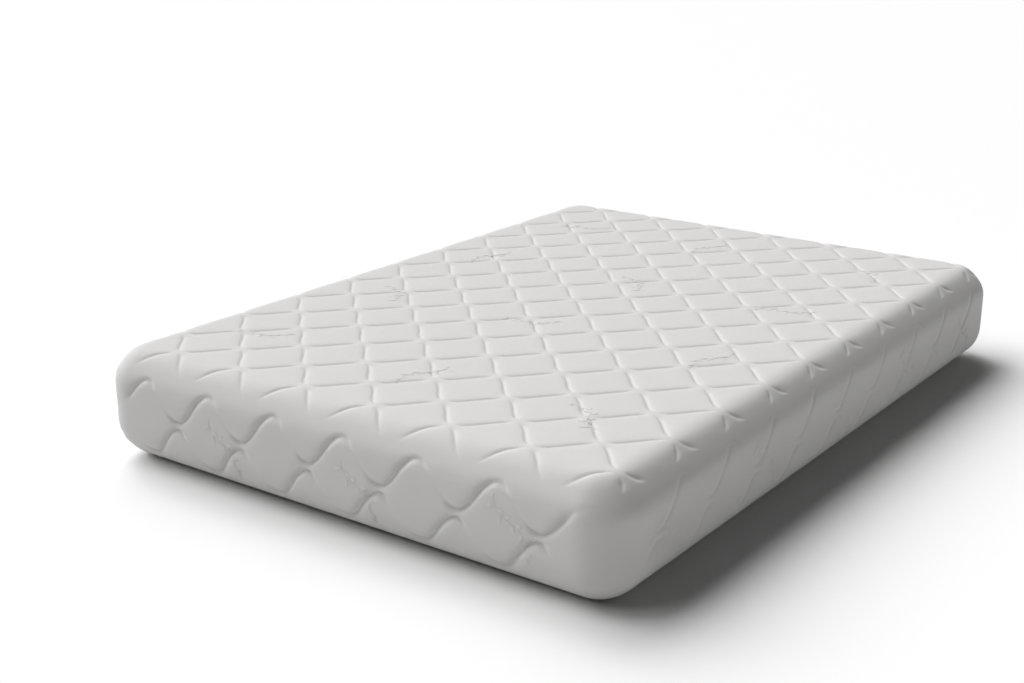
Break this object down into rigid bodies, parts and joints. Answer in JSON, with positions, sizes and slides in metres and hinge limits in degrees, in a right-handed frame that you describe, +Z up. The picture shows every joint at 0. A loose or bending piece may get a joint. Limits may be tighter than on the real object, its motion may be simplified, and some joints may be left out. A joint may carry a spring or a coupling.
{
  "type": "memory foam mattress",
  "caption": "Low rounded mattress with a quilted wavy-trellis cover that zips open over a foam core.",
  "frame": {"origin": "middle of the underside, on the surface that the mattress lies on", "axes": "+Z up, +Y along the length from the foot end to the head end, +X across the width; the zip is on the -X side"},
  "size_m": [1.3722, 1.905, 0.254],
  "materials": {
    "quilted_knit": "matte",
    "base_cloth": "matte",
    "fibre_wadding": "matte",
    "backing_cloth": "matte",
    "seam_thread": "matte",
    "barrier_knit": "matte",
    "memory_foam": "matte",
    "transition_foam": "matte",
    "support_foam": "matte",
    "glue": "satin",
    "zip_tape": "matte",
    "zip_coil": "satin",
    "zip_metal": "satin",
    "label_cloth": "matte"
  },
  "bodies": {
    "root": {"top_panel_knit": "quilted_knit", "border_knit": "quilted_knit", "base_panel_knit": "base_cloth", "top_panel_wadding": "fibre_wadding", "border_wadding": "fibre_wadding", "base_panel_wadding": "fibre_wadding", "top_panel_backing": "backing_cloth", "border_backing": "backing_cloth", "base_panel_backing": "backing_cloth", "top_seam_thread": "seam_thread", "base_seam_thread": "seam_thread", "barrier_sock": "barrier_knit", "barrier_sock_end_panel": "barrier_knit", "memory_foam_layer": "memory_foam", "glue_line_upper": "glue", "transition_foam_layer": "transition_foam", "glue_line_lower": "glue", "support_foam_core": "support_foam", "zip_tape_lower": "zip_tape", "zip_tape_upper": "zip_tape", "zip_coil_lower": "zip_coil", "zip_coil_upper": "zip_coil", "zip_stop_head": "zip_metal", "zip_stop_foot": "zip_metal", "zip_end_tab_head": "zip_tape", "zip_end_tab_foot": "zip_tape", "zip_guard_flap": "backing_cloth", "care_label": "label_cloth"},
    "slider": {"zip_slider": "zip_metal"},
    "pull_tab": {"zip_pull_tab": "zip_metal"}
  },
  "joints": [
    {"name": "zip_slide", "type": "slide", "parent": "root", "child": "slider", "axis": [0, -1, 0], "range_m": [0, 1.6404]},
    {"name": "pull_tab_hinge", "type": "hinge", "parent": "slider", "child": "pull_tab", "pos_m": [-0.68385, 0.8322, 0.11], "axis": [0, 0, -1], "range_deg": [0, 165]}
  ]
}
